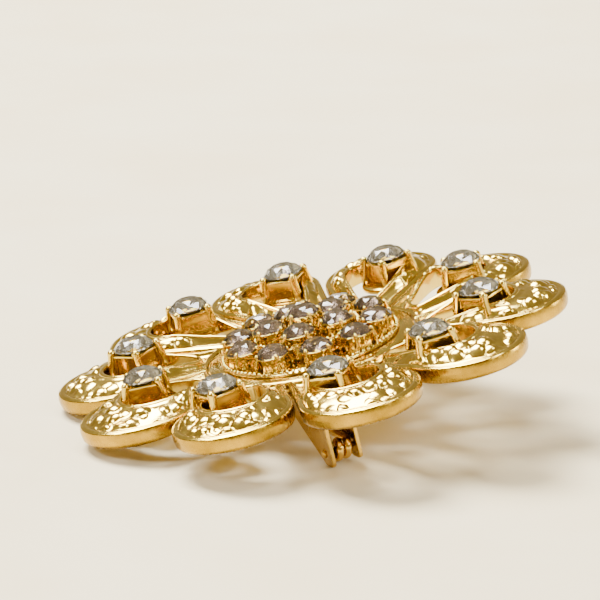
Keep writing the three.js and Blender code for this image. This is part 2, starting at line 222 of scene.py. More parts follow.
# A rougher satin wall that draws each petal's outline; its darker colour is painted shade, the outer
# walls drawn darker than the tops as if in shadow.
SHADE_PAINTED_WALL_GOLD = plated_gold("gold-plated cast zinc, brushed wall in painted shade", light="C8A030", deep="8A6A14",
                        smooth=0.2, rough=0.36, grain_mm=0.5, dents=0.5)
# Light gold that stays yellow after many reflections between the cups.
CUP_GOLD = plated_gold("gold-plated cups", light="ECD270", deep="D8BA56",
                       smooth=0.08, rough=0.15, grain_mm=0.3, dents=0.12)
# Flat, slightly dull faces with a fine rolled grain.
SHEET_GOLD = plated_gold("gold-plated brass sheet", light="D2AE54", deep="B48E3A",
                         smooth=0.2, rough=0.3, grain_mm=0.2, dents=0.3)
# Long bright lines along the drawn wire.
WIRE_GOLD = plated_gold("gold-plated spring steel wire", light="DEB858", deep="C8A040",
                        smooth=0.07, rough=0.15, grain_mm=0.25, dents=0.12)
# Colourless glass over bright foil: white flashes beside grey.
CLEAR_GLASS = cut_glass("cut crystal glass", "F3EFE4", "FFFDF6")
BRIGHT_FOIL = silver_foil("silver foil backing", "DCDAD2", "A29E94")
# The cluster's stones are browner and darker than the petals': a painted reflection of the gold round
# them, tinted into the glass and the foil.
GLASS_PAINTED_GOLD_REFLECTION = cut_glass("cut crystal glass, tinted with painted gold reflection", "D6CBC0", "EAE2DA")
FOIL_PAINTED_GOLD_REFLECTION = silver_foil("silver foil backing, browned with painted gold reflection", "BCAC9C", "84766A")


# ---- small makers ----
def smoothstep(x):
    x = min(max(x, 0.0), 1.0)
    return x * x * (3 - 2 * x)


def turned(direction, at=(0, 0, 0)):
    """The frame of a piece that stands at a place along one direction of the flower."""
    return Matrix.Rotation(direction, 4, "Z") @ Matrix.Translation(Vector(at))


def new_object(name, bm, materials):
    """Turns a bmesh in metres into an object of the scene."""
    mesh = bpy.data.meshes.new(name)
    bm.to_mesh(mesh)
    bm.free()
    for material in materials:
        mesh.materials.append(material)
    made = bpy.data.objects.new(name, mesh)
    bpy.context.scene.collection.objects.link(made)
    return made


def add_piece(name, bm, body, cad_node, materials, smooth=True):
    """Turns a bmesh in millimetres into a piece that stands for a CAD node."""
    bmesh.ops.remove_doubles(bm, verts=bm.verts[:], dist=1e-4)
    bmesh.ops.recalc_face_normals(bm, faces=bm.faces[:])
    bmesh.ops.scale(bm, vec=(MM, MM, MM), verts=bm.verts[:])
    piece = new_object(name, bm, materials)
    piece.data.polygons.foreach_set("use_smooth", [smooth] * len(piece.data.polygons))
    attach(piece, body)
    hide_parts(cad_node)


def wrapped(bm, around, along, shape, paint=None):
    """A grid closed on itself in its first way, each point placed by shape(u, v), u and v from 0 to 1."""
    made = bmesh.ops.create_grid(bm, x_segments=around, y_segments=along, size=0.5)["verts"]
    if paint:
        for face in bm.faces:
            face.material_index = paint(face.calc_center_median().y + 0.5)
    for vert in made:
        vert.co = shape(vert.co.x + 0.5, vert.co.y + 0.5)
    bmesh.ops.remove_doubles(bm, verts=made, dist=1e-5)


def lathe(bm, profile, segments, matrix, flutes=0, depth=0.0, fluted=()):
    """Spins a profile of (radius, height) round Z. The points listed in fluted get shallow flutes."""
    last = len(profile) - 1

    def shape(u, v):
        k = round(v * last)
        radius, z = profile[k]
        if k in fluted:
            radius -= depth * (0.5 + 0.5 * math.cos(flutes * TAU * u))
        return matrix @ Vector((radius * math.cos(TAU * u), radius * math.sin(TAU * u), z))

    wrapped(bm, segments, last, shape)


SHARP = math.radians(30)  # edges sharper than this get rounded


def bevel_edges(bm, verts, width):
    """Rounds every sharp edge between the given vertices."""
    inside = set(verts)
    # A dict keeps the edges in order, which a set would not.
    edges = [
        e for e in dict.fromkeys(e for v in verts for e in v.link_edges)
        if e.verts[0] in inside and e.verts[1] in inside
        and len(e.link_faces) == 2 and e.calc_face_angle() > SHARP
    ]
    bmesh.ops.bevel(bm, geom=edges, offset=width, offset_type="OFFSET", affect="EDGES",
                    segments=2, profile=0.5, material=-1, clamp_overlap=True)


def plate(bm, outline, thickness, matrix, bevel):
    """A flat sheet over an outline in its own XY plane, with rounded edges."""
    face = bm.faces.new([bm.verts.new((x, y, 0)) for x, y in outline])
    grown = bmesh.ops.extrude_face_region(bm, geom=[face])["geom"]
    moved = [g for g in grown if isinstance(g, bmesh.types.BMVert)]
    bmesh.ops.translate(bm, verts=moved, vec=(0, 0, thickness))
    verts = list(face.verts) + moved
    bmesh.ops.transform(bm, matrix=matrix, verts=verts)
    bevel_edges(bm, verts, bevel)


PRONG_SIDES = 16
# A prong's neck and its bead: (radius, height over its top), in shares of its radius.
PRONG_END = [(0.9, -0.7), (1.02, -0.25), (0.92, 0.25), (0.55, 0.62), (0, 0.74)]


def prong(bm, angle, ring, radius, bottom, top, lean, matrix):
    """A claw at one angle of a ring, that ends in a small bead bent inwards over the stone."""
    stem = [(0, bottom), (radius, bottom), (0.94 * radius, (bottom + top) / 2)]
    stem += [(r * radius, top + z * radius) for r, z in PRONG_END]
    bend = Matrix.Translation((ring * math.cos(angle), ring * math.sin(angle), 0))
    last = len(stem) - 1

    def shape(u, v):
        r, z = stem[round(v * last)]
        inward = lean * smoothstep((z - bottom) / (top - bottom)) ** 3
        point = Vector((r * math.cos(TAU * u) - inward * math.cos(angle),
                        r * math.sin(TAU * u) - inward * math.sin(angle), z))
        return matrix @ bend @ point

    wrapped(bm, PRONG_SIDES, last, shape)


# ---- petals ----
# In a petal's own frame x runs along a line through the flower's centre, parallel to the petal's axis.
def between(start, end, share):
    """The point a share of the way along a line."""
    return start[0] + (end[0] - start[0]) * share, start[1] + (end[1] - start[1]) * share


def side_end(sign):
    """Where one straight side of a petal meets the round cut beside the back plate."""
    ux, uy = math.cos(SIDE), sign * math.sin(SIDE)
    along = PETAL_APEX * ux + AXIS_OFFSET * uy
    reach = -along + math.sqrt(along ** 2 - PETAL_APEX ** 2 - AXIS_OFFSET ** 2 + INNER_CUT ** 2)
    return PETAL_APEX + reach * ux, AXIS_OFFSET + reach * uy


slot_side = math.asin((SLOT_RADIUS - SLOT_INNER_RADIUS) / (SLOT_CENTRE - SLOT_INNER_CENTRE))


def round_end(centre, radius, angle):
    return centre + radius * math.cos(angle), AXIS_OFFSET + radius * math.sin(angle)


# How far round an outline each stretch ends, as a share: round tip, one side, inner end.
TIP_END, SIDE_END, INNER_END = 0.5, 0.69, 0.81


def around(u, side, centre, radius, ends, inner):
    """A point on a petal's outline or its slot's: round tip, one side, inner end, other side."""
    turn = math.pi / 2 + side
    if u < TIP_END:
        return round_end(centre, radius, turn * (1 - 2 * u / TIP_END))
    if u < SIDE_END:
        return between(round_end(centre, radius, -turn), ends[0], (u - TIP_END) / (SIDE_END - TIP_END))
    if u < INNER_END:
        return inner((u - SIDE_END) / (INNER_END - SIDE_END))
    return between(ends[1], round_end(centre, radius, turn), (u - INNER_END) / (1 - INNER_END))


petal_ends = side_end(-1), side_end(1)
cut_angles = [math.atan2(y, x) for x, y in petal_ends]
slot_turn = math.pi / 2 + slot_side
slot_ends = (round_end(SLOT_INNER_CENTRE, SLOT_INNER_RADIUS, -slot_turn),
             round_end(SLOT_INNER_CENTRE, SLOT_INNER_RADIUS, slot_turn))


def petal_edge(u):
    def inner(t):
        angle = cut_angles[0] + (cut_angles[1] - cut_angles[0]) * t
        return INNER_CUT * math.cos(angle), INNER_CUT * math.sin(angle)
    return around(u, SIDE, TIP_CENTRE, TIP_RADIUS, petal_ends, inner)


def slot_edge(u):
    def inner(t):
        return round_end(SLOT_INNER_CENTRE, SLOT_INNER_RADIUS, -slot_turn - (TAU - 2 * slot_turn) * t)
    return around(u, slot_side, SLOT_CENTRE, SLOT_RADIUS, slot_ends, inner)


RIM_WIDTH = 0.75
RIM_ROUNDING = 0.2
RIM_CROWN = 0.1
RIDGE_WIDTH = 0.5
RIDGE_CROWN = 0.14
ROUNDING = 0.65  # of the outer wall's lower edge
WALL_HOLLOW = 0.06  # how far the outer wall is dished
FLAT_ROWS = 4  # across the back
ROUNDING_STEPS = 8
WALL_SHARES = (0.25, 0.5, 0.75, 0.9)
RIM_STEPS = 5
BAND_ROWS = 34
RIDGE_STEPS = 8


def petal_section():
    """Rows all the way round a petal's section: (measured from, distance or share, height rule)."""
    rows = [("slot", 0.0, ("hollow", 0)), ("outer", WALL, ("hollow", 0)), ("outer", WALL, ("low", 0.0)),
            ("outer", WALL - 0.08, ("low", 0.0))]
    for k in range(ROUNDING_STEPS + 1):
        angle = math.pi / 2 * k / ROUNDING_STEPS
        rows.append(("outer", ROUNDING * (1 - math.sin(angle)),
                     ("low", ROUNDING * (1 - math.cos(angle)))))
    for share in WALL_SHARES:
        rows.append(("outer", -WALL_HOLLOW * math.sin(math.pi * share), ("wall", share)))
    for k in range(1, RIM_STEPS + 1):
        angle = math.pi / 2 * k / RIM_STEPS
        rows.append(("outer", RIM_ROUNDING * (1 - math.cos(angle)),
                     ("rim", -RIM_ROUNDING * (1 - math.sin(angle)))))
    for share in (0.35, 0.5, 0.65, 0.8, 0.92, 1.0):
        rows.append(("outer", RIM_WIDTH * share, ("rim", RIM_CROWN * math.sin(2.4 * share))))
    for k in range(BAND_ROWS + 1):
        rows.append(("band", k / BAND_ROWS, None))
    for k in range(RIDGE_STEPS + 1):
        angle = math.pi * k / RIDGE_STEPS
        rows.append(("slot", RIDGE_WIDTH * (0.5 + 0.5 * math.cos(angle)),
                     ("ridge", RIDGE_CROWN * math.sin(angle) - RIDGE_CROWN)))
    for share in (0.15, 0.35, 0.55, 0.75, 0.9):
        rows.append(("slot", 0.0, ("inside", share)))
    return rows


SECTION = petal_section()
WALL_ROWS = FLAT_ROWS, FLAT_ROWS + ROUNDING_STEPS + len(WALL_SHARES) + 2  # those on the outer wall

NUGGET = 1.5  # spacing of the hammered nuggets
LEAST_REACH, MORE_REACH = 0.56, 0.14  # a nugget's radius as a share of the spacing
LEAST_HEIGHT, MORE_HEIGHT = 0.28, 0.16
NUGGET_TILT = 0.5
WORN = 0.25  # the share of the nuggets that is worn flatter
NUGGET_SINK = 0.1  # the band between them lies this far below its plain part
BAND_BELOW_RIDGE = 0.16  # the band meets the ridge this far below its crest
PLAIN_FROM = 15  # towards its inner end the band turns plain and dished
PLAIN_OVER = 2.5
PLAIN_DISH = 0.45


def beading(x, y, seed):
    """Height of the hammered nuggets: domed cells of uneven size, each tilted its own way."""
    spot = Vector((x / NUGGET, y / NUGGET, seed))
    distances, points = noise.voronoi(spot)
    own = noise.cell_vector(points[0] * 7.3 + Vector((seed, 1.3, 2.1)))
    offset = spot - points[0]
    reach = min(distances[0] / (LEAST_REACH + MORE_REACH * own.z), 1.0)
    lean = NUGGET_TILT * ((own.x - 0.5) * offset.x + (own.y - 0.5) * offset.y)
    size = 0.5 if own.y < WORN else 1.0
    return (1 - reach ** 2) ** 0.9 * (LEAST_HEIGHT + MORE_HEIGHT * own.z + lean) * size


def petal_height(x, y, place, amount, height, seed, squeeze):
    """The height of a petal's surface at one point of its section."""
    low = min(max((FULL_HEIGHT_FROM - x) / (FULL_HEIGHT_FROM - PLATE_RADIUS), 0), 1)
    rim, ridge = RIM_Z - RIM_DROP * low, RIDGE_Z - RIDGE_DROP * low
    hollow = HOLLOW_DEPTH * smoothstep((math.hypot(x, y) - HOLLOW_FROM) / 0.3)
    if place == "band":
        plain = smoothstep((PLAIN_FROM - x) / PLAIN_OVER)
        z = rim + (ridge - BAND_BELOW_RIDGE - rim) * math.sin(amount * math.pi / 2) ** 0.85
        z += (1 - plain) * smoothstep(amount / 0.1) * smoothstep((1 - amount) / 0.12) * (
            squeeze * beading(x, y, seed) - NUGGET_SINK)
        return z - PLAIN_DISH * plain * squeeze * math.sin(math.pi * amount) ** 0.6
    rule, value = height
    if rule == "hollow":
        return hollow
    if rule == "low":
        return value
    if rule == "wall":
        return ROUNDING + (rim - RIM_ROUNDING - ROUNDING) * value
    if rule == "rim":
        return rim + value
    if rule == "ridge":
        return ridge + value
    return (ridge - RIDGE_CROWN) * (1 - value) + hollow * value


PETAL_STATIONS = 420  # round a petal's outline
NARROW = 1.9  # where the band is narrower than this, the rim, ridge and nuggets shrink with it


def petal_mesh(k):
    """A petal: its section carried round its outline, with its own draw of nuggets."""
    bm = bmesh.new()
    last = len(SECTION)
    direction = turned(FIRST + k * STEP + LEAN)
    seed = 3.1 * k + 0.7

    def shape(u, v):
        outer, slot = petal_edge(u % 1), slot_edge(u % 1)
        width = math.dist(outer, slot)
        squeeze = min(1.0, width / NARROW)
        place, amount, height = SECTION[round(v * last) % last]
        rim_in, ridge_in = RIM_WIDTH * squeeze, RIDGE_WIDTH * squeeze
        if place == "outer":
            share = amount * squeeze / width
        elif place == "slot":
            share = 1 - amount * squeeze / width
        else:
            share = (rim_in + (width - rim_in - ridge_in) * amount) / width
        x, y = between(outer, slot, share)
        return direction @ Vector((x, y, petal_height(x, y, place, amount, height, seed, squeeze)))

    def paint(v):
        """The brushed material with painted shade on the outer wall, the polished one elsewhere."""
        return int(WALL_ROWS[0] <= v * last < WALL_ROWS[1])

    wrapped(bm, PETAL_STATIONS, last, shape, paint)
    return bm


for k in range(PETALS):
    add_piece(f"openwork_petal_{k + 1}", petal_mesh(k), "flower", f"petal_{k + 1}",
              [CAST_GOLD, SHADE_PAINTED_WALL_GOLD])


# ---- stones ----
# A stone's corners, from its table down to its point: (how many, radius, height, turn),
# in shares of the stone's radius and of the angle between corners.
STONE_RINGS = [(8, 0.52, 0.41, 0.5), (8, 0.8, 0.26, 0.0), (16, 1.0, 0.035, 0.25),
               (16, 1.0, -0.03, 0.25), (8, 0.45, -0.44, 0.5), (1, 0.0, -0.74, 0.0)]
FOIL_BELOW = -0.035  # faces lower than this share of the radius carry the foil


def add_stone(name, node_name, radius, matrix, glass, foil):
    """A round stone with a table, star and main facets, a thin girdle and a foiled pavilion."""
    bm = bmesh.new()
    spin = turns.uniform(0, TAU)
    for count, r, z, shift in STONE_RINGS:
        for i in range(count):
            angle = TAU * (i + shift) / count + spin
            bm.verts.new((r * radius * math.cos(angle), r * radius * math.sin(angle), z * radius))
    bmesh.ops.convex_hull(bm, input=bm.verts[:])
    bmesh.ops.dissolve_limit(bm, angle_limit=math.radians(1), verts=bm.verts[:], edges=bm.edges[:])
    for face in bm.faces:
        face.material_index = int(face.calc_center_median().z < FOIL_BELOW * radius)
    bmesh.ops.transform(bm, matrix=matrix, verts=bm.verts[:])
    add_piece(name, bm, "flower", node_name, [glass, foil], smooth=False)


turns = random.Random(5)
for k in range(PETALS):
    place = turned(FIRST + k * STEP, (STONE_RING, 0, STONE_GIRDLE))
    add_stone(f"petal_crystal_{k + 1}", f"petal_stone_{k + 1}", STONE_RADIUS, place,
              CLEAR_GLASS, BRIGHT_FOIL)

DOME_TILT = math.radians(9)  # the outer stones of the cluster lean outwards
outer_angles = [FIRST + k * STEP for k in range(PETALS)]
inner_angles = [angle - STEP / 2 for angle in outer_angles[::2]]
for tier, angles, label in ((OUTER_TIER, outer_angles, "outer"), (INNER_TIER, inner_angles, "inner")):
    for k, angle in enumerate(angles):
        lean = DOME_TILT * tier["ring"] / OUTER_TIER["ring"]
        place = turned(angle, (tier["ring"], 0, tier["girdle"])) @ Matrix.Rotation(lean, 4, "Y")
        add_stone(f"{label}_crystal_{k + 1}", f"{label}_cluster_stone_{k + 1}", SMALL_RADIUS, place,
                  GLASS_PAINTED_GOLD_REFLECTION, FOIL_PAINTED_GOLD_REFLECTION)
add_stone("centre_crystal", "centre_stone", SMALL_RADIUS, Matrix.Translation((0, 0, CENTRE_GIRDLE)),
          GLASS_PAINTED_GOLD_REFLECTION, FOIL_PAINTED_GOLD_REFLECTION)


# ---- petal settings ----
SEAT_SIDES = 48
SEAT_RADIUS = 3.0
SEAT_BOTTOM, SEAT_TOP = 0.9, 1.4
COLLET_FOOT, COLLET_HEAD = 2.62, 2.5  # from its middle to its corners
COLLET_HEIGHT = 2.3
COLLET_MIDDLE_Z = 2.5
WINDOW_FRAME = 0.34
WINDOW_DEPTH = 0.4
COLLET_LIP = 0.28
POCKET_SLOPE, POCKET_DEPTH = 0.5, 0.6
COLLET_BEVEL = 0.05
SETTING_PRONG = {"ring": 2.6, "radius": 0.42, "bottom": 1.2, "top": 3.95, "lean": 0.32}


def setting_mesh(matrix):
    """A square collet with a window in each side, on a round seat, with four fat prongs."""
    bm = bmesh.new()
    seat = [(0, SEAT_BOTTOM), (SEAT_RADIUS - 0.1, SEAT_BOTTOM), (SEAT_RADIUS, SEAT_BOTTOM + 0.1),
            (SEAT_RADIUS, SEAT_TOP - 0.06), (SEAT_RADIUS - 0.06, SEAT_TOP), (0, SEAT_TOP)]
    lathe(bm, seat, SEAT_SIDES, matrix)
    before = set(bm.verts)
    bmesh.ops.create_cone(bm, segments=4, radius1=COLLET_FOOT, radius2=COLLET_HEAD,
                          depth=COLLET_HEIGHT, cap_ends=True,
                          matrix=Matrix.Translation((0, 0, COLLET_MIDDLE_Z)))
    collet = [v for v in bm.verts if v not in before]
    sides = [f for f in dict.fromkeys(f for v in collet for f in v.link_faces)
             if abs(f.normal.z) < 0.5]
    bmesh.ops.inset_individual(bm, faces=sides, thickness=WINDOW_FRAME, depth=0.0)
    bmesh.ops.inset_individual(bm, faces=sides, thickness=0.05, depth=-WINDOW_DEPTH)
    level = [f for f in bm.faces
             if f.normal.z > 0.9 and f.calc_center_median().z > COLLET_MIDDLE_Z + 1]
    top = max(level, key=lambda f: f.calc_area())
    bmesh.ops.inset_individual(bm, faces=[top], thickness=COLLET_LIP, depth=0.0)
    bmesh.ops.inset_individual(bm, faces=[top], thickness=POCKET_SLOPE, depth=-POCKET_DEPTH)
    collet = [v for v in bm.verts if v not in before]
    bevel_edges(bm, collet, COLLET_BEVEL)
    collet = [v for v in bm.verts if v not in before]
    bmesh.ops.transform(bm, matrix=matrix, verts=collet)
    for i in range(4):
        prong(bm, i * TAU / 4, matrix=matrix, **SETTING_PRONG)
    return bm


for k in range(PETALS):
    place = turned(FIRST + k * STEP, (STONE_RING, 0, 0)) @ Matrix.Rotation(LEAN, 4, "Z")
    add_piece(f"square_setting_{k + 1}", setting_mesh(place), "flower", f"petal_setting_{k + 1}",
              [CAST_GOLD])


# ---- cluster cups ----
CUP_SIDES = 96
CUP_LIP = 1.7
LIP_BELOW_GIRDLE = 0.08
FLUTES = 12
FLUTE_DEPTH = 0.14
FLUTED = (2, 3, 4)  # the points of a cup's profile that are fluted
CUP_CLAW = {"ring": 1.75, "radius": 0.23, "lean": 0.2}
CLAW_OVER_GIRDLE = 0.1


def cup_into(bm, matrix, bottom, girdle, claws, first_claw, claw_bottom):
    """Adds one fluted cup with a flared lip and its small claws."""
    top = girdle - LIP_BELOW_GIRDLE
    waist = bottom + 0.3 * (top - bottom)
    profile = [(0, bottom), (1.5, bottom), (1.56, bottom + 0.1), (1.5, waist), (1.58, top - 0.3),
               (CUP_LIP, top - 0.1), (CUP_LIP, top), (1.6, top), (1.4, top - 0.2), (0, top - 1.1)]
    lathe(bm, profile, CUP_SIDES, matrix, flutes=FLUTES, depth=FLUTE_DEPTH, fluted=FLUTED)
    for i in range(claws):
        prong(bm, first_claw + TAU * i / claws, bottom=claw_bottom, top=girdle + CLAW_OVER_GIRDLE,
              matrix=matrix, **CUP_CLAW)


SEATED = 0.05  # how far a tier stands off the plate, and a cup sinks into its tier
TIER_EDGE = 0.1
TIER_SIDES = 120
BEAD_SPACING = 0.62
BEAD_RADIUS = 0.24
BEAD_INSET = 0.25


def tier_mesh(tier, angles):
    """A ring with a beaded edge that carries cups at the given angles."""
    bm = bmesh.new()
    inside, outside, top = tier["inside"], tier["outside"], tier["top"]
    low = PLATE_TOP + SEATED
    ring = [(inside, low), (outside - TIER_EDGE, low), (outside, low + TIER_EDGE),
            (outside, top - TIER_EDGE), (outside - TIER_EDGE, top), (inside + TIER_EDGE, top),
            (inside, top - TIER_EDGE), (inside, low)]
    lathe(bm, ring, TIER_SIDES, Matrix())
    beads = round(TAU * outside / BEAD_SPACING)
    for i in range(beads):
        at = turned(TAU * i / beads, (outside - BEAD_INSET, 0, top))
        bmesh.ops.create_icosphere(bm, subdivisions=2, radius=BEAD_RADIUS, matrix=at)
    for angle in angles:
        cup_into(bm, turned(angle, (tier["ring"], 0, 0)), top - SEATED, tier["girdle"], 4,
                 math.pi / 4, top - SEATED)
    return bm


CENTRE_CLAWS = 5
CENTRE_CLAW_BOTTOM = 3.0
add_piece("outer_cup_tier", tier_mesh(OUTER_TIER, outer_angles), "flower", "cluster_outer_tier",
          [CUP_GOLD])
add_piece("inner_cup_tier", tier_mesh(INNER_TIER, inner_angles), "flower", "cluster_inner_tier",
          [CUP_GOLD])
centre = bmesh.new()
cup_into(centre, Matrix(), PLATE_TOP + SEATED, CENTRE_GIRDLE, CENTRE_CLAWS, FIRST + STEP / 2,
         CENTRE_CLAW_BOTTOM)
add_piece("centre_cup", centre, "flower", "cluster_centre_cup", [CUP_GOLD])


# ---- back plate ----
PLATE_SIDES = 96
PLATE_EDGE = 0.2  # its rounding
PLATE_CORNER = 0.06  # how far in the middle of the rounding lies


def back_plate_mesh():
    """A round plate with rounded edges."""
    bm = bmesh.new()
    edge, corner = PLATE_RADIUS - PLATE_EDGE, PLATE_RADIUS - PLATE_CORNER
    profile = [(0, 0), (edge, 0), (corner, PLATE_CORNER), (PLATE_RADIUS, PLATE_EDGE),
               (PLATE_RADIUS, PLATE_TOP - PLATE_EDGE), (corner, PLATE_TOP - PLATE_CORNER),
               (edge, PLATE_TOP), (0, PLATE_TOP)]
    lathe(bm, profile, PLATE_SIDES, Matrix())
    return bm


add_piece("round_back_plate", back_plate_mesh(), "flower", "back_plate", [CAST_GOLD])


# ---- hinge bracket and rivet ----
def arc_points(cx, cy, radius, start, stop, count):
    """Points along an arc between two angles in degrees."""
    angles = [math.radians(start + (stop - start) * i / count) for i in range(count + 1)]
    return [(cx + radius * math.cos(angle), cy + radius * math.sin(angle)) for angle in angles]


FOOT_LOW, FOOT_HIGH = -0.5, -0.08  # the fittings' feet, behind the back plate
BRACKET_FRONT, BRACKET_BACK = 1.4, 7.3  # from the coil's middle
EAR_BELOW = 1.2  # the ears' lowest point under the coil's middle
EAR_START = FOOT_LOW + 0.2
EAR_CORNER = 0.5
EAR_TIP = 0.9


def hinge_bracket_mesh():
    """Brass sheet folded into a foot and two ears, each ear a long triangle rounded at its tip."""
    bm = bmesh.new()
    x, y, z = coil_centre
    front, back, tip = y - BRACKET_FRONT, y + BRACKET_BACK, z - EAR_BELOW
    outer = EAR_INNER + SHEET
    foot = [(x - outer, front), (x + outer, front), (x + outer, back), (x - outer, back)]
    plate(bm, foot, FOOT_HIGH - FOOT_LOW, PIN_FRAME @ Matrix.Translation((0, 0, FOOT_LOW)),
          bevel=0.1)
    ear = ([(front, EAR_START)]
           + arc_points(front + EAR_CORNER, tip + EAR_CORNER, EAR_CORNER, 180, 270, 5)
           + arc_points(y - 0.1, tip + EAR_TIP, EAR_TIP, 270, 321, 6)
           + [(back, FOOT_LOW), (back, EAR_START)])
    upright = Matrix(((0, 0, 1, 0), (1, 0, 0, 0), (0, 1, 0, 0), (0, 0, 0, 1)))
    for side in (x - outer, x + EAR_INNER):
        plate(bm, ear, SHEET, PIN_FRAME @ Matrix.Translation((side, 0, 0)) @ upright, bevel=0.07)
    return bm


add_piece("folded_hinge_bracket", hinge_bracket_mesh(), "flower", "hinge_bracket",
          [SHEET_GOLD], smooth=False)


RIVET_SIDES = 32
# One end of the rivet, from its axis over its domed head to its shank: (radius, past the ear).
RIVET_HEAD = [(0, 0.27), (0.2, 0.25), (0.36, 0.15), (0.42, 0.02), (0.27, 0.02)]


def rivet_mesh():
    """A shank between two peened heads, through both ears and the coil."""
    bm = bmesh.new()
    half = EAR_INNER + SHEET
    profile = [(r, -half - z) for r, z in RIVET_HEAD] + [(r, half + z) for r, z in RIVET_HEAD[::-1]]
    across = PIN_FRAME @ Matrix.Translation(coil_centre) @ Matrix.Rotation(math.pi / 2, 4, "Y")
    lathe(bm, profile, RIVET_SIDES, across)
    return bm


add_piece("peened_rivet", rivet_mesh(), "flower", "hinge_rivet", [WIRE_GOLD])


# ---- spring pin ----
COIL_TURNS = 1.75
WIRE_SIDES = 24
TAIL_STATIONS, COIL_STATIONS, STEM_STATIONS = 8, 110, 60
GROUND = 2.2  # length of the point
POINT = 0.02  # how blunt it is, as a share of the wire
CUT_END = 0.12  # the tail's cut end is narrower over this length
CUT_NARROWER = 0.75


def pin_mesh():
    """One wire: a short tail, nearly two coil turns and a straight stem ground to a point."""
    rise = math.atan2(roll_centre.z - coil_centre.z - COIL_RADIUS, roll_centre.y - coil_centre.y)
    sweep = COIL_TURNS * TAU - rise
    half_width = sweep / TAU * COIL_PITCH / 2
    coil = sweep * COIL_RADIUS
    stem = (STEM_TIP_Y - coil_centre.y) / math.cos(rise)
    pieces = ((0, TAIL, TAIL_STATIONS), (TAIL, TAIL + coil, COIL_STATIONS),
              (TAIL + coil, TAIL + coil + stem, STEM_STATIONS))
    stations = [a + (b - a) * i / n for a, b, n in pieces for i in range(n)] + [TAIL + coil + stem]
    total = stations[-1]

    def centre_line(s):
        """The wire's middle and the coil angle that its section is turned by."""
        if s <= TAIL:
            return Vector((-half_width, COIL_RADIUS, TAIL - s)), 0.0
        turned_by = min((s - TAIL) / COIL_RADIUS, sweep)
        rest = max(s - TAIL - coil, 0)
        return Vector((-half_width + COIL_PITCH * turned_by / TAU,
                       COIL_RADIUS * math.cos(turned_by) + rest * math.cos(rise),
                       -COIL_RADIUS * math.sin(turned_by) + rest * math.sin(rise))), turned_by

    bm = bmesh.new()
    last = len(stations) - 1
    matrix = PIN_FRAME @ Matrix.Translation(coil_centre)

    def shape(u, v):
        s = stations[round(v * last)]
        point, turned_by = centre_line(s)
        outward = Vector((0, math.cos(turned_by), -math.sin(turned_by)))
        sideways = Vector((1, 0, 0))
        radius = WIRE * min(1.0, ((total - s) / GROUND) ** 0.7 + POINT)
        if s < CUT_END:
            radius *= CUT_NARROWER
        angle = TAU * u
        return matrix @ (point + radius * (math.cos(angle) * outward + math.sin(angle) * sideways))

    wrapped(bm, WIRE_SIDES, last, shape)
    ends = [e for e in bm.edges if e.is_boundary]
    bmesh.ops.holes_fill(bm, edges=ends, sides=0)
    return bm


add_piece("coiled_spring_pin", pin_mesh(), "pin", "spring_pin", [WIRE_GOLD])


# ---- rollover catch ----
ARC_STEPS = 28
BARREL = {"inside": 1.0, "outside": 1.35, "start": -31, "stop": 194, "length": 3.2}
SLEEVE = {"inside": 0.55, "outside": 0.95, "start": -90 + 56.8, "stop": 270 - 56.8, "length": 3.1}
CATCH_FOOT = 2.7, 1.8  # half its width and half its length
CATCH_WEB = 0.55, 1.4
WEB_LOW = 1.18  # inside the barrel's wall
TAB = [(0.75, -0.65), (1.7, -0.65), (1.95, -0.4), (1.95, 0.4), (1.7, 0.65), (0.75, 0.65)]
TAB_THICKNESS = 0.24
TAB_TURN = math.radians(157)
catch_place = PIN_FRAME @ Matrix.Translation(roll_centre)


def arc_wall(bm, inside, outside, start, stop, length, matrix):
    """A wall bent round Y from one angle to another, with rounded edges."""
    outline = (arc_points(0, 0, outside, start, stop, ARC_STEPS)
               + arc_points(0, 0, inside, stop, start, ARC_STEPS))
    upright = Matrix.Translation((0, length / 2, 0)) @ Matrix.Rotation(math.pi / 2, 4, "X")
    plate(bm, outline, length, matrix @ upright, bevel=0.05)


def rectangle(half_x, half_y):
    return [(-half_x, -half_y), (half_x, -half_y), (half_x, half_y), (-half_x, half_y)]


def catch_base_mesh():
    """A barrel open on one side, held by a web on a rectangular foot."""
    bm = bmesh.new()
    arc_wall(bm, matrix=catch_place, **BARREL)
    high, low = FOOT_HIGH - roll_centre.z, FOOT_LOW - roll_centre.z
    plate(bm, rectangle(*CATCH_FOOT), high - low, catch_place @ Matrix.Translation((0, 0, low)),
          bevel=0.12)
    plate(bm, rectangle(*CATCH_WEB), low + 0.1 - WEB_LOW,
          catch_place @ Matrix.Translation((0, 0, WEB_LOW)), bevel=0.05)
    return bm


add_piece("catch_barrel", catch_base_mesh(), "flower", "catch_base", [SHEET_GOLD],
          smooth=False)


def catch_sleeve_mesh():
    """The slotted inner sleeve with its thumb tab."""
    bm = bmesh.new()
    arc_wall(bm, matrix=catch_place, **SLEEVE)
    turn = Matrix.Rotation(TAB_TURN, 4, "Y") @ Matrix.Translation((0, 0, -TAB_THICKNESS / 2))
    plate(bm, TAB, TAB_THICKNESS, catch_place @ turn, bevel=0.06)
    return bm


add_piece("catch_locking_sleeve", catch_sleeve_mesh(), "sleeve", "catch_sleeve",
          [WIRE_GOLD], smooth=False)


# ---- floor, light and camera ----
TILT = math.radians(13.8)  # the brooch rests on the hinge and on two petals' edges
floor_up = Vector((math.sin(TILT), 0, math.cos(TILT)))


def lowest_along(direction):
    """How far along a direction the brooch's lowest point lies."""
    bpy.context.view_layer.update()
    return min(
        direction.dot(vert.co)
        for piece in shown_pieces()
        for vert in piece.data.vertices
    )


CARD_CLOUD = 20
CARD_HALF_WIDTH = 2.5  # in metres


